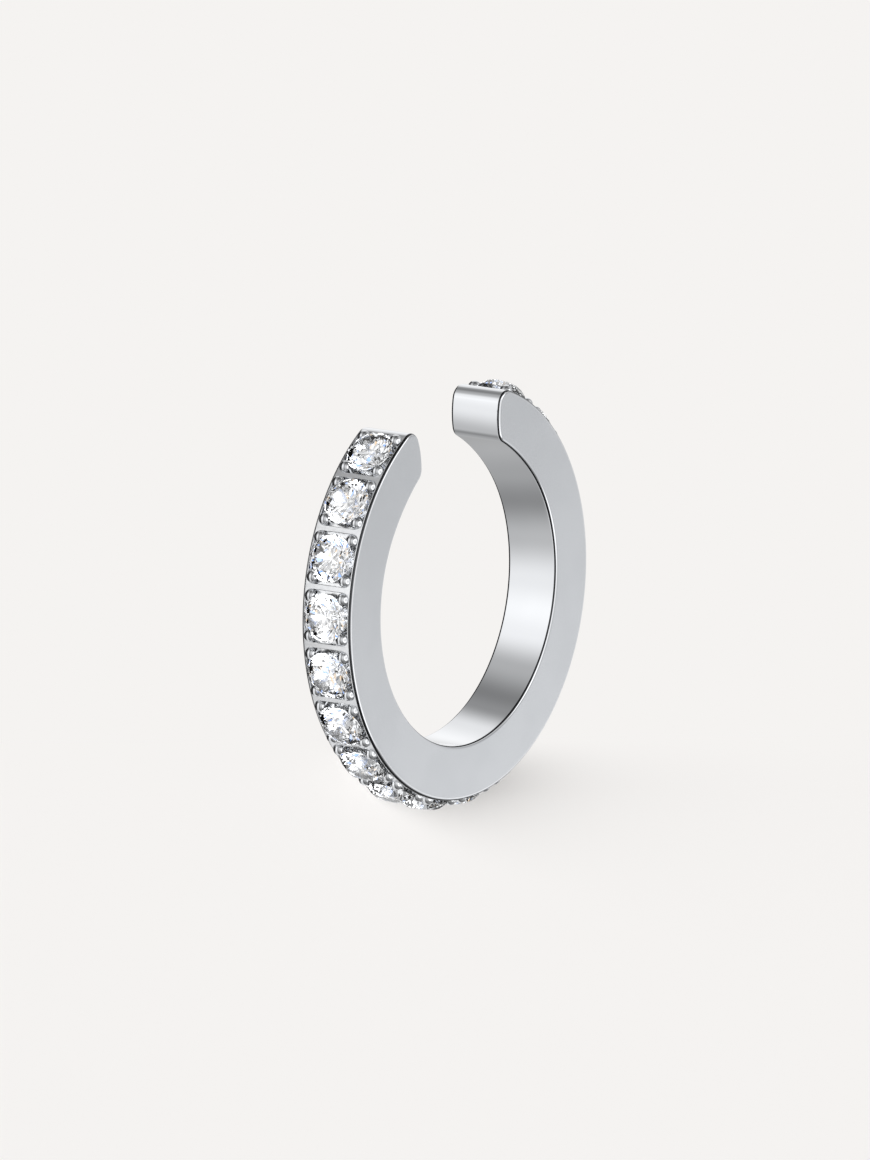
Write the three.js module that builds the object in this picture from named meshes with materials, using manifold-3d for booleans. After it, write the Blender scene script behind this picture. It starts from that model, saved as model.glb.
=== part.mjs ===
// Ear cuff: one open band of polished steel with a single row of round cut stones
// set all the way round its outer face, from one rounded end to the other.
//
// The ring's axis is +Z and the band lies on its lower flank, which is at Z = 0.
// The mouth between the two ends opens towards +Y. All lengths are millimetres.

import * as THREE from 'three';
import { mergeVertices } from 'three/addons/utils/BufferGeometryUtils.js';
import Module from 'manifold-3d';

const wasm = await Module();
wasm.setup();

// Band
const outerDiameter = 13;        // over the plain metal of the outer face
const wallThickness = 1.72;      // from the bore to the outer face
const bandWidth = 1.85;          // from flank to flank, along the axis
const edgeChamfer = 0.06;        // bright bevel round both flanks

// Ends of the band
const mouthWidth = 4.22;         // between the noses of the two ends
const noseRise = 0.56;           // from the bore up to the nose, along the mouth's side
const faceRadius = 2.5;          // slow curve of the end face
const outerEndRound = 0.45;      // corner between the end face and the outer face
const innerEndRound = 0.42;      // corner between the end face and the bore
const easingRadius = 6.25;       // flatter arc that leads the bore out to the end
const easingStart = 53;          // degrees from the middle of the mouth where it leaves the bore

// Cells, one to a stone, sunk into the outer face
const railWidth = 0.065;         // metal between a cell and the chamfer
const barWidth = 0.18;           // metal between two cells
const endLand = 0.02;            // metal between the last cell and the rounded end
const cellDepth = 0.22;          // from the outer face down to the cell's floor

// Bead prongs, four to a cell
const beadRadius = 0.17;
const beadProud = 0.17;          // top of a bead above the outer face
const beadGroove = 0.03;         // free groove between a bead and the cell's walls
const beadRoot = 0.1;            // how deep a bead's post stands in the floor

// Cut of the stones
const girdleRoom = 0.03;         // between a stone's girdle and the rails beside it
const girdleRise = 0.09;         // upper edge of the girdle above the outer face
const stoneGap = 0.02;           // clearance between a stone and its seat and beads
const tableShare = 0.6;          // table's width as a share of the stone's
const crownAngle = 38;           // degrees from the girdle's plane
const pavilionAngle = 40.75;     // degrees from the girdle's plane
const girdleHeight = 0.035;
const starShare = 0.5;           // how far the star facets reach from table to girdle
const lowerShare = 0.77;         // how far the lower girdle facets reach from girdle to culet
const mainFacets = 8;

// Fineness of the curves
const arcStep = 4.5;              // degrees, along the band
const roundSteps = 5;            // along the rounded corners of the ends
const beadSides = 8;
const domeSteps = 2;             // rings of faces on a bead's head
const samePlace = 1e-5;          // corners nearer than this are one

const outerRadius = outerDiameter / 2;
const boreRadius = outerRadius - wallThickness;
const cellWidth = bandWidth - 2 * (edgeChamfer + railWidth);
const girdleRadius = cellWidth / 2 - girdleRoom;
const stoneRadius = outerRadius + girdleRise;
const degrees = THREE.MathUtils.degToRad;

// Centre of a circle that touches two others, given the reach to each of their centres.
function touchingCentre(first, firstReach, second, secondReach) {
  const span = second.clone().sub(first);
  const distance = span.length();
  const along = (firstReach ** 2 - secondReach ** 2 + distance ** 2) / (2 * distance);
  const aside = Math.sqrt(firstReach ** 2 - along ** 2);
  span.normalize();
  const normal = new THREE.Vector2(-span.y, span.x);
  return first.clone().addScaledVector(span, along).addScaledVector(normal, aside);
}

// Points of an arc about a centre, from one point's direction to another's.
function arcBetween(centre, radius, from, to, clockwise, steps) {
  const start = Math.atan2(from.y - centre.y, from.x - centre.x);
  const end = Math.atan2(to.y - centre.y, to.x - centre.x);
  return new THREE.ArcCurve(centre.x, centre.y, radius, start, end, clockwise).getPoints(steps);
}

// The end on the +X side of the mouth, as a chain of arcs that run into each other:
// outer round, face, inner round and the easing arc that joins the bore.
function endArcs() {
  const ring = new THREE.Vector2(0, 0);
  const noseX = mouthWidth / 2;
  const noseY = Math.sqrt(boreRadius ** 2 - noseX ** 2) + noseRise;
  const face = new THREE.Vector2(noseX + faceRadius, noseY);
  const leave = new THREE.Vector2(Math.sin(degrees(easingStart)), Math.cos(degrees(easingStart)));
  const easing = leave.clone().multiplyScalar(boreRadius - easingRadius);
  const outerRound = touchingCentre(ring, outerRadius - outerEndRound, face, faceRadius - outerEndRound);
  const innerRound = touchingCentre(easing, easingRadius + innerEndRound, face, faceRadius - innerEndRound);

  const towards = (from, to, reach) => to.clone().sub(from).setLength(reach).add(from);
  const outerTangent = towards(ring, outerRound, outerRadius);
  const faceTop = towards(face, outerRound, faceRadius);
  const faceFoot = towards(face, innerRound, faceRadius);
  const easingEnd = towards(easing, innerRound, easingRadius);
  const boreTangent = leave.clone().multiplyScalar(boreRadius);
  return {
    outerTangent,
    boreTangent,
    points: [
      ...arcBetween(outerRound, outerEndRound, outerTangent, faceTop, false, roundSteps),
      ...arcBetween(face, faceRadius, faceTop, faceFoot, false, roundSteps),
      ...arcBetween(innerRound, innerEndRound, faceFoot, easingEnd, false, roundSteps),
      ...arcBetween(easing, easingRadius, easingEnd, boreTangent, true, roundSteps),
    ],
  };
}

// Row of cells: as many square cells as the outer face holds, spread evenly.
const end = endArcs();
const rowStart = Math.atan2(end.outerTangent.x, end.outerTangent.y) + endLand / outerRadius;
const rowLength = (2 * Math.PI - 2 * rowStart) * outerRadius;
const stoneCount = Math.floor((rowLength + barWidth) / (cellWidth + barWidth));
const pitch = (rowLength + barWidth) / stoneCount;
const cellLength = pitch - barWidth;
const stoneAngle = (index) => rowStart + (cellLength / 2 + index * pitch) / outerRadius;

// Everything in a cell is made standing on the origin, with +Y outwards and Z along the
// ring's axis, and is then carried out to its radius and turned round the ring.
function atCell(geometry, index, radius) {
  const placed = geometry.clone();
  placed.translate(0, radius, bandWidth / 2);
  placed.rotateZ(stoneAngle(index));
  return placed;
}

function bandOutline() {
  const ring = new THREE.Vector2(0, 0);
  const mirror = (point) => new THREE.Vector2(-point.x, point.y);
  const turns = Math.ceil((2 * Math.PI) / degrees(arcStep));
  const outline = [
    ...arcBetween(ring, outerRadius, mirror(end.outerTangent), end.outerTangent, false, turns),
    ...end.points,
    ...arcBetween(ring, boreRadius, end.boreTangent, mirror(end.boreTangent), true, turns),
    ...end.points.map(mirror).reverse(),
  ];
  const apart = (point, index) => {
    const before = outline[(index + outline.length - 1) % outline.length];
    return point.distanceTo(before) > samePlace;
  };
  return new THREE.Shape(outline.filter(apart));
}

function bandGeometry() {
  const geometry = new THREE.ExtrudeGeometry(bandOutline(), {
    depth: bandWidth - 2 * edgeChamfer,
    bevelEnabled: true,
    bevelSegments: 1,
    bevelThickness: edgeChamfer,
    bevelSize: edgeChamfer,
    bevelOffset: -edgeChamfer,
  });
  geometry.translate(0, 0, edgeChamfer);
  return geometry;
}

// Square hollow whose corners leave a groove round the beads; open well above the stones.
function cellGeometry() {
  const corner = beadRadius + beadGroove;
  const x = cellLength / 2 - corner;
  const z = cellWidth / 2 - corner;
  const shape = new THREE.Shape();
  shape.absarc(x, z, corner, 0, Math.PI / 2, false);
  shape.absarc(-x, z, corner, Math.PI / 2, Math.PI, false);
  shape.absarc(-x, -z, corner, Math.PI, 1.5 * Math.PI, false);
  shape.absarc(x, -z, corner, 1.5 * Math.PI, 2 * Math.PI, false);
  const geometry = new THREE.ExtrudeGeometry(shape, {
    depth: 2 * cellDepth,
    bevelEnabled: false,
    curveSegments: 1,
  });
  geometry.rotateX(-Math.PI / 2);
  geometry.translate(0, -cellDepth, 0);
  return geometry;
}

// Post with a round head, standing in one corner of the cell.
function beadGeometry(sideX, sideZ) {
  const centre = beadProud - beadRadius;
  const profile = [new THREE.Vector2(0, -cellDepth - beadRoot)];
  profile.push(new THREE.Vector2(beadRadius, -cellDepth - beadRoot));
  for (let step = 0; step <= domeSteps; step += 1) {
    const rise = (step / domeSteps) * (Math.PI / 2);
    const reach = step === domeSteps ? 0 : beadRadius * Math.cos(rise);
    profile.push(new THREE.Vector2(reach, centre + beadRadius * Math.sin(rise)));
  }
  const geometry = new THREE.LatheGeometry(profile, beadSides);
  const corner = beadRadius + beadGroove;
  geometry.translate(sideX * (cellLength / 2 - corner), 0, sideZ * (cellWidth / 2 - corner));
  return geometry;
}

// The stone's own outline, grown by its clearance: it cuts the seat under the stone and
// the notches in the beads.
function seatGeometry() {
  const crown = Math.tan(degrees(crownAngle));
  const pavilion = Math.tan(degrees(pavilionAngle));
  const sides = 2 * mainFacets;
  const reach = (girdleRadius + stoneGap) / Math.cos(Math.PI / sides);
  const tableReach = tableShare * girdleRadius;
  const profile = [
    new THREE.Vector2(0, -girdleHeight - reach * pavilion),
    new THREE.Vector2(reach, -girdleHeight),
    new THREE.Vector2(reach, stoneGap),
    new THREE.Vector2(tableReach, stoneGap + (reach - tableReach) * crown),
    new THREE.Vector2(0, stoneGap + (reach - tableReach) * crown),
  ];
  const geometry = new THREE.LatheGeometry(profile, sides);
  geometry.rotateY(Math.PI / sides);
  return geometry;
}

// Round brilliant with its table upwards and the upper edge of its girdle at Y = 0.
function stoneGeometry() {
  const half = Math.PI / mainFacets;
  const tableRadius = tableShare * girdleRadius;
  const crownHeight = (girdleRadius - tableRadius) * Math.tan(degrees(crownAngle));
  const pavilionDepth = girdleRadius * Math.tan(degrees(pavilionAngle));

  // the corners between the main facets lie in the planes of those facets
  const starRadius = THREE.MathUtils.lerp(tableRadius * Math.cos(half), girdleRadius, starShare);
  const starDrop = (starRadius * Math.cos(half) - tableRadius) / (girdleRadius - tableRadius);
  const lowerRadius = girdleRadius * (1 - lowerShare);
  const lowerDrop = 1 - (lowerRadius * Math.cos(half)) / girdleRadius;
  const culet = new THREE.Vector3(0, -girdleHeight - pavilionDepth, 0);

  const ring = (radius, height, count, shift) => (index) => {
    const turn = ((index + shift) / count) * 2 * Math.PI;
    return new THREE.Vector3(radius * Math.cos(turn), height, -radius * Math.sin(turn));
  };
  const table = ring(tableRadius, crownHeight, mainFacets, 0);
  const star = ring(starRadius, crownHeight * (1 - starDrop), mainFacets, 0.5);
  const girdleTop = ring(girdleRadius, 0, 2 * mainFacets, 0);
  const girdleFoot = ring(girdleRadius, -girdleHeight, 2 * mainFacets, 0);
  const lower = ring(lowerRadius, -girdleHeight - pavilionDepth * lowerDrop, mainFacets, 0.5);

  const corners = [];
  for (let index = 0; index < mainFacets; index += 1) {
    const next = index + 1;
    const edge = 2 * index;
    if (index > 0 && next < mainFacets) {
      corners.push(table(0), table(index), table(next));
    }
    corners.push(table(index), star(index), table(next));
    corners.push(table(index), star(index - 1), girdleTop(edge));
    corners.push(table(index), girdleTop(edge), star(index));
    corners.push(star(index), girdleTop(edge), girdleTop(edge + 1));
    corners.push(star(index), girdleTop(edge + 1), girdleTop(edge + 2));
    for (const side of [edge, edge + 1]) {
      corners.push(girdleTop(side), girdleFoot(side), girdleFoot(side + 1));
      corners.push(girdleTop(side), girdleFoot(side + 1), girdleTop(side + 1));
      corners.push(lower(index), girdleFoot(side + 1), girdleFoot(side));
    }
    corners.push(culet, lower(index), girdleFoot(edge));
    corners.push(culet, girdleFoot(edge), lower(index - 1));
  }
  return new THREE.BufferGeometry().setFromPoints(corners);
}

function solidFrom(geometry) {
  const plain = geometry.clone();
  plain.deleteAttribute('normal');
  plain.deleteAttribute('uv');
  const merged = mergeVertices(plain, samePlace);
  return new wasm.Manifold(new wasm.Mesh({
    numProp: 3,
    vertProperties: new Float32Array(merged.attributes.position.array),
    triVerts: new Uint32Array(merged.index.array),
  }));
}

function geometryFrom(solid) {
  const mesh = solid.getMesh();
  const geometry = new THREE.BufferGeometry();
  geometry.setAttribute('position', new THREE.BufferAttribute(mesh.vertProperties, 3));
  geometry.setIndex(new THREE.BufferAttribute(mesh.triVerts, 1));
  geometry.computeVertexNormals();
  return geometry;
}

function setBand() {
  const cell = cellGeometry();
  const seat = seatGeometry();
  const beads = [];
  for (const sideX of [-1, 1]) {
    for (const sideZ of [-1, 1]) {
      beads.push(beadGeometry(sideX, sideZ));
    }
  }
  let band = solidFrom(bandGeometry());
  for (let index = 0; index < stoneCount; index += 1) {
    band = band.subtract(solidFrom(atCell(cell, index, outerRadius)));
    for (const bead of beads) {
      band = band.add(solidFrom(atCell(bead, index, outerRadius)));
    }
    band = band.subtract(solidFrom(atCell(seat, index, stoneRadius)));
  }
  return geometryFrom(band);
}

const cuff = new THREE.Group();
cuff.name = 'ear_cuff';

const steel = new THREE.MeshStandardMaterial({ color: 0xc2c4c8, metalness: 1, roughness: 0.28 });
const band = new THREE.Mesh(setBand(), steel);
band.name = 'cuff_band';
cuff.add(band);

const stone = stoneGeometry();
stone.computeVertexNormals();
for (let index = 0; index < stoneCount; index += 1) {
  const clear = new THREE.MeshStandardMaterial({ color: 0xf8fafc, metalness: 0, roughness: 0.02 });
  const mesh = new THREE.Mesh(stone, clear);
  mesh.name = `stone_${String(index + 1).padStart(2, '0')}`;
  const angle = stoneAngle(index);
  mesh.position.set(-stoneRadius * Math.sin(angle), stoneRadius * Math.cos(angle), bandWidth / 2);
  mesh.rotation.z = angle;
  cuff.add(mesh);
}

// The origin is the middle of the footprint, on the surface that the cuff lies on.
const bounds = new THREE.Box3().setFromObject(cuff);
const middle = bounds.getCenter(new THREE.Vector3());
cuff.position.set(-middle.x, -middle.y, -bounds.min.z);

export default cuff;
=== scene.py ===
from math import atan2, ceil, cos, degrees, hypot, pi, radians, sin, sqrt, tan

import bmesh
import bpy
from mathutils import Matrix, Vector


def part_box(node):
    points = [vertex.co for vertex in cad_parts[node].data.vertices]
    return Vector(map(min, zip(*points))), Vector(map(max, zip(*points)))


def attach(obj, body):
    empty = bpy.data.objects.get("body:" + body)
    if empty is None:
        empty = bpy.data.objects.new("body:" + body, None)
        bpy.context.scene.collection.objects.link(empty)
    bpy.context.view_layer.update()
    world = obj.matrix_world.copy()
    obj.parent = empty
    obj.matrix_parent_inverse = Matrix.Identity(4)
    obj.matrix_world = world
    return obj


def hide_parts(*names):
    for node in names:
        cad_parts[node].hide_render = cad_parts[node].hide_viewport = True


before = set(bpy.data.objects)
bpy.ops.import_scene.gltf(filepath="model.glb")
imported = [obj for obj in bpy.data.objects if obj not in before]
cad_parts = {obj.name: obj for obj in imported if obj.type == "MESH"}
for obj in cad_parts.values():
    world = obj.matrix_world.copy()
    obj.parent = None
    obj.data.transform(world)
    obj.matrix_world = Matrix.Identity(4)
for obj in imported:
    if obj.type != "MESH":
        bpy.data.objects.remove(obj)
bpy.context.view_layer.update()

mm = 0.001

# The ring as it was built, in millimetres round its own axis
ring = {
    "outerRadius": 6.5,
    "wall": 1.72,
    "width": 1.85,
}
# Millimetres under which points are one, are level, or lie on a cut
close = {
    "merge": 0.0001,
    "level": 0.001,
    "cut": 0.00001,
}
stones = sorted(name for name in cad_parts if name.startswith("stone_"))


def toFrame(bm):
    # millimetres round the ring's axis become metres in the frame
    bmesh.ops.translate(bm, verts=bm.verts, vec=ringMiddle)
    bmesh.ops.scale(bm, verts=bm.verts, vec=(mm, mm, mm))


def meshFrom(bm, name):
    mesh = bpy.data.meshes.new(name)
    bm.to_mesh(mesh)
    bm.free()
    return mesh


def addObject(name, data):
    piece = bpy.data.objects.new(name, data)
    bpy.context.scene.collection.objects.link(piece)
    return piece


def findCulet(name):
    # a stone's culet is its nearest point to the middle of the hollow
    hollow = sum(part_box("cuff_band"), Vector()) / 2 / mm
    points = [v.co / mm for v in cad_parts[name].data.vertices]
    return min(points, key=lambda p: (p - hollow).xy.length)


def findMiddle():
    # the culets lie on one circle about the ring's axis, and stone_10 is opposite the mouth
    first, low = findCulet("stone_01"), findCulet("stone_10")
    return Vector((0, (first.x ** 2 + first.y ** 2 - low.y ** 2) / (2 * (first.y - low.y)), 0))


ringMiddle = findMiddle()


def stoneTurn(name):
    culet = findCulet(name) - ringMiddle
    return atan2(-culet.x, culet.y)


# Camera, at the photo's angle to the cuff
camera = {
    "azimuth": 250.33,
    "elevation": 33.86,
    "roll": 98.04,
    "distance": 900,
    "frameHeight": 36.11,  # millimetres of the view from top to bottom
    "pictureHeight": 1160,
    "pictureMiddle": (435, 580),
    "ringAt": (469.53, 593.98),  # pixel of the ring's middle, level with the upper flank
    "sensor": 36,
    "clip": (0.01, 20),  # metres
}


def makeCamera(s):
    turn = (
        Matrix.Rotation(radians(s["azimuth"]), 3, "Z")
        @ Matrix.Rotation(radians(90 - s["elevation"]), 3, "X")
        @ Matrix.Rotation(radians(s["roll"]), 3, "Z")
    )
    right, up, back = turn.col[0], turn.col[1], turn.col[2]
    perPixel = s["frameHeight"] / s["pictureHeight"]
    across = (s["ringAt"][0] - s["pictureMiddle"][0]) * perPixel
    down = (s["ringAt"][1] - s["pictureMiddle"][1]) * perPixel
    aim = ringMiddle + Vector((0, 0, ring["width"])) - right * across + up * down
    data = bpy.data.cameras.new("camera")
    data.sensor_fit = "VERTICAL"
    data.sensor_height = s["sensor"]
    data.lens = data.sensor_height * s["distance"] / s["frameHeight"]
    data.clip_start = s["clip"][0]
    data.clip_end = s["clip"][1]
    eye = addObject("camera", data)
    eye.matrix_world = Matrix.Translation((aim + back * s["distance"]) * mm) @ turn.to_4x4()
    bpy.context.scene.camera = eye


makeCamera(camera)
bpy.context.scene.view_settings.view_transform = "Standard"
print("camera done")


# Small helpers for the node trees
def newMaterial(name):
    material = bpy.data.materials.new(name)
    material.use_nodes = True
    material.node_tree.nodes.clear()
    return material, material.node_tree


def addNode(tree, kind, **values):
    node = tree.nodes.new(kind)
    for key, value in values.items():
        setattr(node, key, value)
    return node


def setInputs(node, **values):
    for key, value in values.items():
        node.inputs[key.replace("_", " ")].default_value = value


def feed(tree, node, *values):
    # each input in turn is linked to another node's output, or set to a fixed value
    for socket, value in zip(node.inputs, values):
        if isinstance(value, bpy.types.NodeSocket):
            tree.links.new(value, socket)
        else:
            socket.default_value = value


def objectPlace(tree):
    return addNode(tree, "ShaderNodeTexCoord").outputs["Object"]


def addMath(tree, operation, *values):
    node = addNode(tree, "ShaderNodeMath", operation=operation)
    feed(tree, node, *values)
    return node.outputs["Value"]


def addVector(tree, operation, *values):
    node = addNode(tree, "ShaderNodeVectorMath", operation=operation)
    feed(tree, node, *values)
    return node.outputs["Value" if operation in ("DOT_PRODUCT", "DISTANCE") else "Vector"]


def addShare(tree, value, reach):
    # from -reach to reach becomes from 0 to 1
    return addMath(tree, "MULTIPLY_ADD", value, 0.5 / reach, 0.5)


def addRange(tree, value, start, end, low=0.0, high=1.0, soft=False):
    node = addNode(tree, "ShaderNodeMapRange", interpolation_type="SMOOTHSTEP" if soft else "LINEAR")
    tree.links.new(value, node.inputs["Value"])
    setInputs(node, From_Min=start, From_Max=end, To_Min=low, To_Max=high)
    return node.outputs["Result"]


def addRamp(tree, source, stops):
    node = addNode(tree, "ShaderNodeValToRGB")
    node.color_ramp.interpolation = "EASE"
    elements = node.color_ramp.elements
    elements[0].position, elements[1].position = stops[0][0], stops[-1][0]
    for place, _ in stops[1:-1]:
        elements.new(place)
    for number, (_, colour) in enumerate(stops):
        elements[number].color = (*colour, 1)
    tree.links.new(source, node.inputs["Fac"])
    return node.outputs["Color"]


def mixShaders(tree, share, first, second):
    node = addNode(tree, "ShaderNodeMixShader")
    feed(tree, node, share, first, second)
    return node.outputs[0]


def showSurface(tree, shader, kind="ShaderNodeOutputMaterial"):
    tree.links.new(shader, addNode(tree, kind).inputs["Surface"])


# Floor and light
floor = {
    "size": 3.0,  # metres
    "drop": 0.02,  # millimetres under the cuff
    "tone": (0.913, 0.896, 0.88),
    "down": (-0.26, -0.96, 0.0),  # the way that is down in the picture
    "shadeShare": 0.55,  # how much of the lamp's shadow shows below the ring in the picture
    "shadeFrom": 4.4,  # millimetres down the picture from the frame's origin, where it starts to show
    "shadeTo": 6.2,
}


def makeFloor(s):
    bm = bmesh.new()
    bmesh.ops.create_grid(bm, x_segments=1, y_segments=1, size=s["size"] / 2)
    bmesh.ops.translate(bm, verts=bm.verts, vec=(0, 0, -s["drop"] * mm))
    material, tree = newMaterial("floorPaper")
    paper = addNode(tree, "ShaderNodeBsdfDiffuse")
    setInputs(paper, Color=(*s["tone"], 1))
    glow = addNode(tree, "ShaderNodeEmission")
    setInputs(glow, Color=(*s["tone"], 1))
    down = addVector(tree, "DOT_PRODUCT", objectPlace(tree), s["down"])
    share = addRange(tree, down, s["shadeFrom"] * mm, s["shadeTo"] * mm, high=s["shadeShare"], soft=True)
    showSurface(tree, mixShaders(tree, share, glow.outputs[0], paper.outputs[0]))
    piece = addObject("floor", meshFrom(bm, "floor"))
    piece.data.materials.append(material)
    piece.visible_glossy = False
    piece.visible_transmission = False


sky = {
    "plain": 0.0,  # what the floor gets beside the lamp's light
    # what the steel mirrors, from straight down (0) to straight up (1)
    "rise": [
        (0.0, 0.08), (0.125, 0.04), (0.17, 1.0), (0.36, 1.0), (0.44, 0.4), (0.54, 0.35),
        (0.66, 0.7), (0.85, 0.7), (0.9, 1.6), (0.95, 1.5), (0.985, 0.95),
    ],
    "risePeak": 2,
    # and, below its upper part, at so many degrees round from +Y towards +X
    "round": [
        (-180, 0.46), (-152, 0.33), (-120, 0.62), (-88, 1.08), (-65, 1.26), (-46, 1.14),
        (-20, 0.55), (8, 0.27), (22, 0.35), (46, 1.0), (72, 1.16), (100, 0.8), (130, 0.45),
        (155, 0.52), (180, 0.46),
    ],
    "roundPeak": 2,
    "upper": 0.87,  # where the sky turns from the studio's walls to plain light
    # what is seen through the stones, away from (0) and along (1) one way, with two coloured rings
    "stoneWay": (-0.3, -0.06, 0.9),
    "stoneLight": [
        (0.0, 0.5), (0.25, 1.2), (0.37, 0.35), (0.47, 1.5), (0.56, 0.35), (0.65, 1.6),
        (0.67, (1.3, 0.9, 0.5)), (0.69, 1.2), (0.76, 0.45), (0.83, 1.8), (0.85, (0.5, 0.9, 2.0)),
        (0.87, 1.9), (0.93, 3.6), (1.0, 5.0),
    ],
    "stonePeak": 6,
}


def dimmed(stops, peak):
    # a ramp holds no colour over 1, so its lights are shares of a peak
    shares = []
    for place, light in stops:
        colour = (light,) * 3 if isinstance(light, (int, float)) else light
        shares.append((place, [part / peak for part in colour]))
    return shares


def makeSky(s):
    world = bpy.data.worlds.new("sky")
    bpy.context.scene.world = world
    world.use_nodes = True
    tree = world.node_tree
    tree.nodes.clear()
    way = addNode(tree, "ShaderNodeTexCoord").outputs["Generated"]
    apart = addNode(tree, "ShaderNodeSeparateXYZ")
    tree.links.new(way, apart.inputs[0])
    height = addShare(tree, apart.outputs["Z"], 1)
    turn = addShare(tree, addMath(tree, "ARCTAN2", apart.outputs["X"], apart.outputs["Y"]), pi)

    rise = addRamp(tree, height, dimmed(s["rise"], s["risePeak"]))
    stops = [(angle / 360 + 0.5, light) for angle, light in s["round"]]
    circle = addRamp(tree, turn, dimmed(stops, s["roundPeak"]))
    below = addMath(tree, "LESS_THAN", height, s["upper"])
    low = addNode(tree, "ShaderNodeMix", data_type="RGBA", blend_type="MULTIPLY")
    tree.links.new(below, low.inputs["Factor"])
    tree.links.new(rise, low.inputs["A"])
    tree.links.new(circle, low.inputs["B"])
    # below the upper part the ramps are multiplied, and their peaks with them
    strength = addMath(tree, "MULTIPLY_ADD", below, s["roundPeak"] - 1, 1)
    strength = addMath(tree, "MULTIPLY", strength, s["risePeak"])
    mirrored = addNode(tree, "ShaderNodeBackground")
    tree.links.new(low.outputs["Result"], mirrored.inputs["Color"])
    tree.links.new(strength, mirrored.inputs["Strength"])

    along = addVector(tree, "DOT_PRODUCT", way, Vector(s["stoneWay"]).normalized())
    light = addRamp(tree, addShare(tree, along, 1), dimmed(s["stoneLight"], s["stonePeak"]))
    through = addNode(tree, "ShaderNodeBackground")
    setInputs(through, Strength=s["stonePeak"])
    tree.links.new(light, through.inputs["Color"])
    plain = addNode(tree, "ShaderNodeBackground")
    setInputs(plain, Color=(1, 1, 1, 1), Strength=s["plain"])

    path = addNode(tree, "ShaderNodeLightPath")
    shown = plain.outputs[0]
    for ray, seen in (("Is Glossy Ray", mirrored), ("Is Transmission Ray", through)):
        shown = mixShaders(tree, path.outputs[ray], shown, seen.outputs[0])
    showSurface(tree, shown, "ShaderNodeOutputWorld")


lamp = {
    "from": (-6.0, 1.9, 1.85),
    "spread": 34,  # degrees, for a soft shadow
}


def makeLamp(s):
    way = Vector(s["from"]).normalized()
    data = bpy.data.lights.new("lamp", "SUN")
    data.angle = radians(s["spread"])
    data.energy = pi / way.z  # the floor is as bright as its own tone
    piece = addObject("lamp", data)
    piece.matrix_world = way.to_track_quat("Z", "Y").to_matrix().to_4x4()
    piece.visible_glossy = False
    piece.visible_transmission = False


def hideFromView(piece):
    # seen only in the steel, as a mirror image
    piece.visible_camera = False
    piece.visible_diffuse = False
    piece.visible_transmission = False
    piece.visible_shadow = False


def fadeOut(tree, shader, centre, fade):
    # a card turns clear away from its middle, so that its outline is never mirrored
    away = addVector(tree, "DISTANCE", objectPlace(tree), centre * mm)
    share = addRange(tree, away, fade[0] * mm, fade[1] * mm, soft=True)
    clear = addNode(tree, "ShaderNodeBsdfTransparent")
    showSurface(tree, mixShaders(tree, share, shader, clear.outputs[0]))


# A card opposite the camera, mirrored by the upper flank
flankCard = {
    "towards": (0.7819, -0.2795, 0.5572),  # where the flank mirrors the camera's view to
    "distance": 45,
    "size": 72,
    "brighter": (0.9, -1.0, 0.0),  # the way in which its light grows
    "near": 0.18,
    "far": 1.33,
    "reach": 30,  # along that way, either side of its middle
    "fade": (23, 35),  # millimetres from its middle, where the card fades into the sky
    "colour": (0.975, 0.985, 1.0),
}


def makeFlankCard(s):
    way = Vector(s["towards"]).normalized()
    centre = way * s["distance"] + ringMiddle
    turn = way.to_track_quat("Z", "Y").to_matrix().to_4x4()
    bm = bmesh.new()
    bmesh.ops.create_grid(bm, x_segments=1, y_segments=1, size=s["size"] / 2)
    bmesh.ops.transform(bm, verts=bm.verts, matrix=Matrix.Translation(way * s["distance"]) @ turn)
    toFrame(bm)
    material, tree = newMaterial("flankCard")
    along = addVector(tree, "DOT_PRODUCT", objectPlace(tree), s["brighter"])
    middle = centre.dot(Vector(s["brighter"]))
    start, end = (middle - s["reach"]) * mm, (middle + s["reach"]) * mm
    light = addRange(tree, along, start, end, s["near"], s["far"])
    glow = addNode(tree, "ShaderNodeEmission")
    setInputs(glow, Color=(*s["colour"], 1))
    tree.links.new(light, glow.inputs["Strength"])
    fadeOut(tree, glow.outputs[0], centre, s["fade"])
    piece = addObject("flankCard", meshFrom(bm, "flankCard"))
    piece.data.materials.append(material)
    hideFromView(piece)


# A glow under the floor, mirrored by the lower part of the row and, being near, not by the bore
rowCard = {
    "drop": 5,  # under the floor
    "way": (-0.42, -0.906, 0.0),
    "reach": 17,  # millimetres from the ring's middle to the card's, along that way
    "rise": (8, 11),  # where the glow starts and where it is full
    "fade": (14, 22),
    "size": 44,
    "light": 0.46,
}


def makeRowCard(s):
    way = Vector(s["way"])
    centre = way * s["reach"] - Vector((0, 0, s["drop"])) + ringMiddle
    bm = bmesh.new()
    bmesh.ops.create_grid(bm, x_segments=1, y_segments=1, size=s["size"] / 2)
    bmesh.ops.translate(bm, verts=bm.verts, vec=centre - ringMiddle)
    toFrame(bm)
    material, tree = newMaterial("rowCard")
    along = addVector(tree, "DOT_PRODUCT", objectPlace(tree), way)
    start, end = [(ringMiddle.dot(way) + rise) * mm for rise in s["rise"]]
    light = addRange(tree, along, start, end, high=s["light"], soft=True)
    glow = addNode(tree, "ShaderNodeEmission")
    tree.links.new(light, glow.inputs["Strength"])
    clear = addNode(tree, "ShaderNodeBsdfTransparent")
    # the glow is added to what lies behind it
    more = addNode(tree, "ShaderNodeAddShader")
    feed(tree, more, glow.outputs[0], clear.outputs[0])
    fadeOut(tree, more.outputs[0], centre, s["fade"])
    piece = addObject("rowCard", meshFrom(bm, "rowCard"))
    piece.data.materials.append(material)
    hideFromView(piece)


makeFloor(floor)
makeSky(sky)
makeLamp(lamp)
makeFlankCard(flankCard)
makeRowCard(rowCard)
print("floor and light done")


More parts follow.
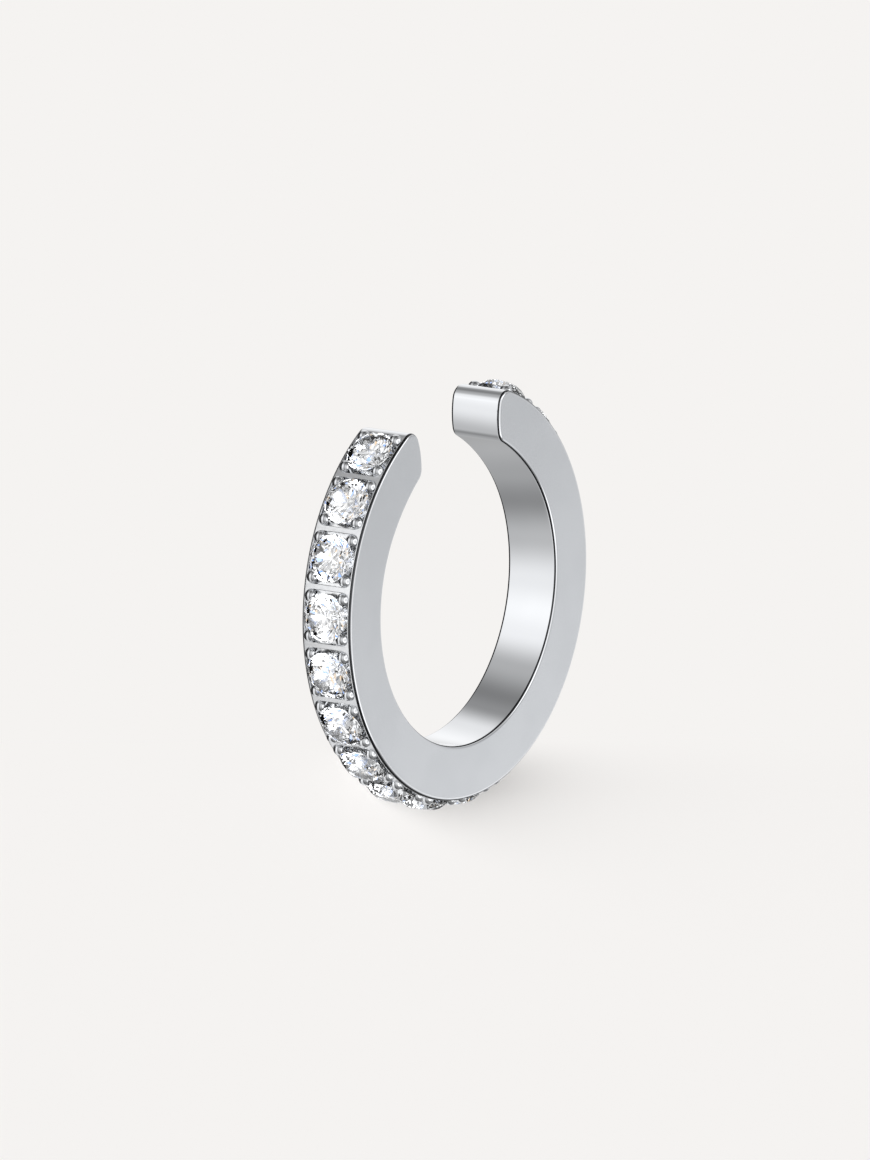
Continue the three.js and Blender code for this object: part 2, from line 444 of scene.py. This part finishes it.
# Steel: one metal, lapped to satin on its flanks and polished elsewhere
steel = {
    "satin": {
        "colours": ((0.735, 0.748, 0.768), (0.765, 0.778, 0.797)),
        "roughness": (0.2, 0.24),
        "bump": 0.004,
    },
    "polished": {
        "colours": ((0.74, 0.753, 0.774), (0.76, 0.773, 0.794)),
        "roughness": (0.035, 0.06),
        "bump": 0.001,
    },
    "face": {  # the rails and bars of the outer face, smoothed after the beads were cut; their colour is lighter than the rest of the steel, a painted highlight on the same metal
        "colours": ((0.82, 0.832, 0.85), (0.86, 0.87, 0.885)),
        "roughness": (0.27, 0.34),
        "bump": 0.003,
    },
    "cut": {  # round the stones, where the tool has cut beads out of it; its rougher finish is real, its lighter colour is painted light on the same metal
        "colours": ((0.84, 0.85, 0.865), (0.91, 0.917, 0.925)),
        "roughness": (0.16, 0.28),
        "bump": 0.02,
    },
    "paintedDarkReflection": {  # a painted dark reflection: a near-black line along the edges
        "colours": ((0.055, 0.057, 0.061), (0.08, 0.082, 0.087)),
        "roughness": (0.05, 0.09),
        "bump": 0.001,
    },
    "cloudScale": 420,  # soft clouds in the tone, over 2 to 3 mm
    "cloudDetail": 2,
    "grainScale": 9000,
    "grainDetail": 4,
    "noiseRoughness": 0.6,
    "spread": (0.35, 0.65),  # of the noise, between its low and its high tone
    "bumpHeight": 0.00002,
}


def addNoise(tree, place, scale, detail):
    node = addNode(tree, "ShaderNodeTexNoise")
    setInputs(node, Scale=scale, Detail=detail, Roughness=steel["noiseRoughness"])
    tree.links.new(place, node.inputs["Vector"])
    return node.outputs["Fac"]


def steelMaterial(kind):
    s = steel[kind]
    low, high = steel["spread"]
    material, tree = newMaterial(kind + "Steel")
    place = objectPlace(tree)
    clouds = addNoise(tree, place, steel["cloudScale"], steel["cloudDetail"])
    grain = addNoise(tree, place, steel["grainScale"], steel["grainDetail"])
    relief = addNode(tree, "ShaderNodeBump")
    setInputs(relief, Strength=s["bump"], Distance=steel["bumpHeight"])
    tree.links.new(grain, relief.inputs["Height"])
    metal = addNode(tree, "ShaderNodeBsdfPrincipled")
    setInputs(metal, Metallic=1)
    colour = addRamp(tree, clouds, list(zip((low, high), s["colours"])))
    tree.links.new(colour, metal.inputs["Base Color"])
    tree.links.new(addRange(tree, grain, low, high, *s["roughness"]), metal.inputs["Roughness"])
    tree.links.new(relief.outputs["Normal"], metal.inputs["Normal"])
    showSurface(tree, metal.outputs[0])
    return material


steelKinds = ["satin", "polished", "face", "cut", "paintedDarkReflection"]
steels = [steelMaterial(kind) for kind in steelKinds]


# Band, in millimetres and degrees
band = {
    "mouth": 4.22,
    "noseRise": 0.56,
    "faceRadius": 2.5,
    "outerEndRound": 0.45,
    "innerEndRound": 0.42,
    "easingRadius": 6.25,
    "easingStart": 53,
    "edgeRound": 0.105,
    "edgeSegments": 8,
    "arcStep": 1.0,
    "roundStep": 5.0,
    "faceStep": 2.5,
}
cell = {
    "rail": 0.125,  # from the flank to the cell
    "bar": 0.18,
    "depth": 0.12,
    "corner": 0.225,
    "lip": 0.016,
    "above": 0.4,  # how far its cutter stands over the outer face
    "cornerSegments": 6,
    "bendStep": 0.12,
}
bead = {
    "radius": 0.21,
    "proud": 0.155,
    "inset": 0.205,  # of its middle from the cell's walls
    "root": 0.1,
    "sides": 20,
    "domeSteps": 6,
}
seat = {
    "gap": 0.012,
    "girdleRadius": 0.77,
    "girdle": 0.035,
    "rise": 0.09,  # of the girdle over the outer face
    "table": 0.6,
    "crown": 38,
    "pavilion": 40.75,
    "sides": 32,
}


def touching(first, firstReach, second, secondReach):
    # the point that is so far from each of two centres, left of the way from one to the other
    span = second - first
    distance = span.length
    along = (firstReach ** 2 - secondReach ** 2 + distance ** 2) / (2 * distance)
    aside = sqrt(firstReach ** 2 - along ** 2)
    span.normalize()
    return first + span * along + Vector((-span.y, span.x)) * aside


def pointTowards(start, end, reach):
    return start + (end - start).normalized() * reach


def spinTo(bm, vert, centre, end, step, clockwise=False, fewest=2):
    # an arc of edges from a vertex to an end point, about a centre
    startAngle = atan2(vert.co.y - centre.y, vert.co.x - centre.x)
    endAngle = atan2(end.y - centre.y, end.x - centre.x)
    angle = (endAngle - startAngle) % (2 * pi)
    if clockwise:
        angle -= 2 * pi
    steps = max(fewest, ceil(abs(degrees(angle)) / step))
    made = bmesh.ops.spin(
        bm, geom=[vert], cent=centre.to_3d(), axis=(0, 0, 1), angle=angle, steps=steps,
        use_merge=False, use_duplicate=False,
    )
    return made["geom_last"][0]


def bandBlank(s):
    outer = ring["outerRadius"]
    bore = outer - ring["wall"]
    middle = Vector((0, 0))
    nose = Vector((s["mouth"] / 2, 0))
    nose.y = sqrt(bore ** 2 - nose.x ** 2) + s["noseRise"]
    faceReach = s["faceRadius"]
    face = nose + Vector((faceReach, 0))
    leave = Vector((sin(radians(s["easingStart"])), cos(radians(s["easingStart"]))))
    easing = leave * (bore - s["easingRadius"])
    easingReach = s["easingRadius"] + s["innerEndRound"]
    outerRound = touching(middle, outer - s["outerEndRound"], face, faceReach - s["outerEndRound"])
    innerRound = touching(easing, easingReach, face, faceReach - s["innerEndRound"])
    innerEnd = pointTowards(easing, innerRound, s["easingRadius"])

    # one half of the outline, from opposite the mouth round the outside, the end and the bore
    bm = bmesh.new()
    vert = bm.verts.new((0, -outer, 0))
    vert = spinTo(bm, vert, middle, pointTowards(middle, outerRound, outer), s["arcStep"])
    vert = spinTo(bm, vert, outerRound, pointTowards(face, outerRound, faceReach), s["roundStep"])
    vert = spinTo(bm, vert, face, pointTowards(face, innerRound, faceReach), s["faceStep"])
    vert = spinTo(bm, vert, innerRound, innerEnd, s["roundStep"])
    vert = spinTo(bm, vert, easing, leave * bore, s["arcStep"], clockwise=True)
    spinTo(bm, vert, middle, Vector((0, -bore)), s["arcStep"], clockwise=True)
    bmesh.ops.mirror(bm, geom=bm.verts[:] + bm.edges[:], axis="X", merge_dist=close["merge"])
    bmesh.ops.remove_doubles(bm, verts=bm.verts, dist=close["merge"])
    flank = bmesh.ops.contextual_create(bm, geom=bm.edges[:])["faces"]
    grown = bmesh.ops.extrude_face_region(bm, geom=flank)["geom"]
    verts = [g for g in grown if isinstance(g, bmesh.types.BMVert)]
    bmesh.ops.translate(bm, verts=verts, vec=(0, 0, ring["width"]))
    bmesh.ops.recalc_face_normals(bm, faces=bm.faces)
    edges = [e for e in bm.edges if abs(e.verts[0].co.z - e.verts[1].co.z) < close["level"]]
    bmesh.ops.bevel(
        bm, geom=edges, offset=s["edgeRound"], offset_type="OFFSET", segments=s["edgeSegments"],
        profile=0.5, affect="EDGES", material=-1, clamp_overlap=True,
    )
    return bm


def placeInRow(bm, turns, rise=0.0, bent=False):
    # what is made on the origin with +Y outwards is repeated at every stone
    outer = ring["outerRadius"] + rise
    if bent:
        for v in bm.verts:
            angle = v.co.x / outer
            radius = outer + v.co.y
            v.co = (radius * sin(angle), radius * cos(angle), v.co.z)
    else:
        bmesh.ops.translate(bm, verts=bm.verts, vec=(0, outer, 0))
    bmesh.ops.translate(bm, verts=bm.verts, vec=(0, 0, ring["width"] / 2))
    first = bm.verts[:] + bm.edges[:] + bm.faces[:]
    for turn in turns[1:]:
        copy = bmesh.ops.duplicate(bm, geom=first)["geom"]
        verts = [g for g in copy if isinstance(g, bmesh.types.BMVert)]
        bmesh.ops.rotate(bm, verts=verts, cent=(0, 0, 0), matrix=Matrix.Rotation(turn, 3, "Z"))
    verts = [g for g in first if isinstance(g, bmesh.types.BMVert)]
    bmesh.ops.rotate(bm, verts=verts, cent=(0, 0, 0), matrix=Matrix.Rotation(turns[0], 3, "Z"))


def raiseFace(bm, face, height, spread=(1, 1), keep=False):
    # a face grows outwards by a height and widens; it is kept where it closes the solid's bottom
    made = bmesh.ops.extrude_face_region(bm, geom=[face])["geom"]
    if not keep:
        bmesh.ops.delete(bm, geom=[face], context="FACES_ONLY")
    verts = [g for g in made if isinstance(g, bmesh.types.BMVert)]
    bmesh.ops.translate(bm, verts=verts, vec=(0, height, 0))
    bmesh.ops.scale(bm, verts=verts, vec=(spread[0], 1, spread[1]))
    return next(g for g in made if isinstance(g, bmesh.types.BMFace))


def cellCutters(s, turns, length):
    half = (length / 2, ring["width"] / 2 - s["rail"])
    bm = bmesh.new()
    bmesh.ops.create_grid(bm, x_segments=1, y_segments=1, size=1)
    bmesh.ops.scale(bm, verts=bm.verts, vec=(half[0], half[1], 1))
    bmesh.ops.rotate(bm, verts=bm.verts, cent=(0, 0, 0), matrix=Matrix.Rotation(-pi / 2, 3, "X"))
    bmesh.ops.translate(bm, verts=bm.verts, vec=(0, -s["depth"], 0))
    bmesh.ops.bevel(
        bm, geom=bm.verts[:], offset=s["corner"], offset_type="OFFSET", segments=s["cornerSegments"],
        profile=0.5, affect="VERTICES", material=-1,
    )
    # the lip's slope runs as far over the outer face as under it
    lip = 2 * s["lip"]
    lid = raiseFace(bm, bm.faces[:][0], s["depth"] - s["lip"], keep=True)
    lid = raiseFace(bm, lid, lip, spread=(1 + lip / half[0], 1 + lip / half[1]))
    raiseFace(bm, lid, s["above"])
    bmesh.ops.recalc_face_normals(bm, faces=bm.faces)
    # cuts across it let it bend with the ring
    bends = int(half[0] / s["bendStep"])
    for k in range(-bends, bends + 1):
        bmesh.ops.bisect_plane(
            bm, geom=bm.verts[:] + bm.edges[:] + bm.faces[:], dist=close["cut"],
            plane_co=(k * s["bendStep"], 0, 0), plane_no=(1, 0, 0),
        )
    placeInRow(bm, turns, bent=True)
    return meshFrom(bm, "cells")


def addChain(bm, profile):
    chain = [bm.verts.new((x, y, 0)) for x, y in profile]
    for a, b in zip(chain, chain[1:]):
        bm.edges.new((a, b))
    return chain[-1]


def spunSolid(bm, sides):
    # a chain of edges in the plane X, Y becomes a solid round +Y
    bmesh.ops.spin(
        bm, geom=bm.verts[:] + bm.edges[:], cent=(0, 0, 0), axis=(0, 1, 0), angle=2 * pi, steps=sides,
        use_merge=True, use_duplicate=False,
    )
    bmesh.ops.remove_doubles(bm, verts=bm.verts, dist=close["merge"])
    bmesh.ops.recalc_face_normals(bm, faces=bm.faces)


def beadPosts(s, turns, length):
    foot = -cell["depth"] - s["root"]
    middle = s["proud"] - s["radius"]
    bm = bmesh.new()
    last = addChain(bm, [(0, foot), (s["radius"], foot), (s["radius"], middle)])
    spinTo(bm, last, Vector((0, middle)), Vector((0, middle + s["radius"])), 90 / s["domeSteps"])
    spunSolid(bm, s["sides"])
    x = length / 2 - s["inset"]
    z = ring["width"] / 2 - cell["rail"] - s["inset"]
    bmesh.ops.translate(bm, verts=bm.verts, vec=(x, 0, z))
    for axis in ("X", "Z"):
        whole = bm.verts[:] + bm.edges[:] + bm.faces[:]
        bmesh.ops.mirror(bm, geom=whole, axis=axis, merge_dist=-1)
    bmesh.ops.recalc_face_normals(bm, faces=bm.faces)
    placeInRow(bm, turns)
    return meshFrom(bm, "beads")


def seatCutters(s, turns):
    # the stone's own form, wider by the gap
    reach = s["girdleRadius"] + s["gap"]
    tableReach = s["table"] * s["girdleRadius"]
    top = s["gap"] + (reach - tableReach) * tan(radians(s["crown"]))
    bm = bmesh.new()
    addChain(bm, [
        (0, -s["girdle"] - reach * tan(radians(s["pavilion"]))),
        (reach, -s["girdle"]),
        (reach, s["gap"]),
        (tableReach, top),
        (0, top),
    ])
    spunSolid(bm, s["sides"])
    placeInRow(bm, turns, s["rise"])
    return meshFrom(bm, "seats")


def carve(piece, mesh, operation):
    tool = addObject("tool", mesh)
    step = piece.modifiers.new("carve", "BOOLEAN")
    step.object = tool
    step.operation = operation
    step.solver = "MANIFOLD"
    made = bpy.data.meshes.new_from_object(piece.evaluated_get(bpy.context.evaluated_depsgraph_get()))
    piece.modifiers.clear()
    piece.data = made
    bpy.data.objects.remove(tool)


finish = {
    "weld": 0.00005,
    "sharp": 32,  # degrees between faces that meet at a crisp edge
    "flat": 0.999,  # a flank's faces are as level, and as far out, as this share
    # the painted dark reflection along an edge lies on faces that tilt between these shares
    "darkReflectionTilt": {"outside": (0.15, 0.8), "inside": (0.15, 0.72)},
    "cutDepth": 1.2,  # of the cells and seats under the outer face
    "room": 0.03,
}


def steelKind(face, rowReach, s):
    centre = face.calc_center_median()
    reach = hypot(centre.x, centre.y)
    aside = centre.z - ring["width"] / 2
    tilt = abs(face.normal.z)
    if tilt > s["flat"] and abs(aside) > ring["width"] / 2 * s["flat"]:
        return "satin"
    outside = reach > ring["outerRadius"] - band["edgeRound"]
    least, most = s["darkReflectionTilt"]["outside" if outside else "inside"]
    onEdge = abs(aside) > ring["width"] / 2 - band["edgeRound"]
    # no painted dark reflection goes along the far edge of the outer face
    if onEdge and least < tilt < most and not (outside and aside < 0):
        return "paintedDarkReflection"
    if abs(atan2(centre.x, -centre.y)) > rowReach:
        return "polished"
    # the rails and bars get the lighter steel, whose colour holds a painted highlight
    if abs(reach - ring["outerRadius"]) < s["room"] and tilt < most:
        return "face"
    floorReach = ring["outerRadius"] - cell["depth"] + s["room"]
    # round the stones the lighter steel brightens the seats with painted light
    if ring["outerRadius"] - s["cutDepth"] < reach < floorReach:
        return "cut"
    return "polished"


def finishBand(piece, rowReach, s):
    bm = bmesh.new()
    bm.from_mesh(piece.data)
    bmesh.ops.remove_doubles(bm, verts=bm.verts, dist=s["weld"])
    for face in bm.faces:
        face.smooth = True
        face.material_index = steelKinds.index(steelKind(face, rowReach, s))
    toFrame(bm)
    bm.to_mesh(piece.data)
    bm.free()
    piece.data.set_sharp_from_angle(angle=radians(s["sharp"]))


def makeBand():
    turns = [stoneTurn(name) for name in stones]
    length = (turns[1] - turns[0]) * ring["outerRadius"] - cell["bar"]
    rowReach = pi - turns[0] + length / ring["outerRadius"] / 2  # radians to either end of the row
    piece = addObject("cuff_steel", meshFrom(bandBlank(band), "cuff_steel"))
    print("band blank done", len(piece.data.polygons))
    carve(piece, cellCutters(cell, turns, length), "DIFFERENCE")
    print("cells done", len(piece.data.polygons))
    carve(piece, beadPosts(bead, turns, length), "UNION")
    print("beads done", len(piece.data.polygons))
    carve(piece, seatCutters(seat, turns), "DIFFERENCE")
    print("seats done", len(piece.data.polygons))
    piece.data.materials.clear()
    for material in steels:
        piece.data.materials.append(material)
    finishBand(piece, rowReach, finish)
    even = piece.modifiers.new("even", "WEIGHTED_NORMAL")
    even.mode = "FACE_AREA"
    even.keep_sharp = True
    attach(piece, "root")
    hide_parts("cuff_band")


makeBand()
print("band done")


# Stones
gem = {
    "tableColour": (0.99, 0.995, 1.0),
    "paintedCrownShade": (0.86, 0.87, 0.885),  # painted shade on the crown facets, so that the table stands out white
    "tableCosine": (0.975, 0.985),  # of the angle between a facet's own way and straight out
    "ior": 2.16,
}


def gemMaterial(s):
    material, tree = newMaterial("clearStone")
    # straight out from the ring's axis
    outward = addVector(tree, "SUBTRACT", objectPlace(tree), ringMiddle * mm)
    level = addVector(tree, "MULTIPLY", outward, (1, 1, 0))
    unit = addVector(tree, "NORMALIZE", level)
    facet = addNode(tree, "ShaderNodeNewGeometry").outputs["True Normal"]
    aside = addMath(tree, "ABSOLUTE", addVector(tree, "DOT_PRODUCT", unit, facet))
    # the crown facets are tinted grey, a painted shade, while the table stays white
    colour = addRamp(tree, aside, list(zip(s["tableCosine"], (s["paintedCrownShade"], s["tableColour"]))))
    glass = addNode(tree, "ShaderNodeBsdfPrincipled")
    setInputs(glass, Roughness=0.0, IOR=s["ior"], Transmission_Weight=1)
    tree.links.new(colour, glass.inputs["Base Color"])
    showSurface(tree, glass.outputs[0])
    return material


clearStone = gemMaterial(gem)
for name in stones:
    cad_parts[name].data.materials.clear()
    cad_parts[name].data.materials.append(clearStone)
print("stones done")
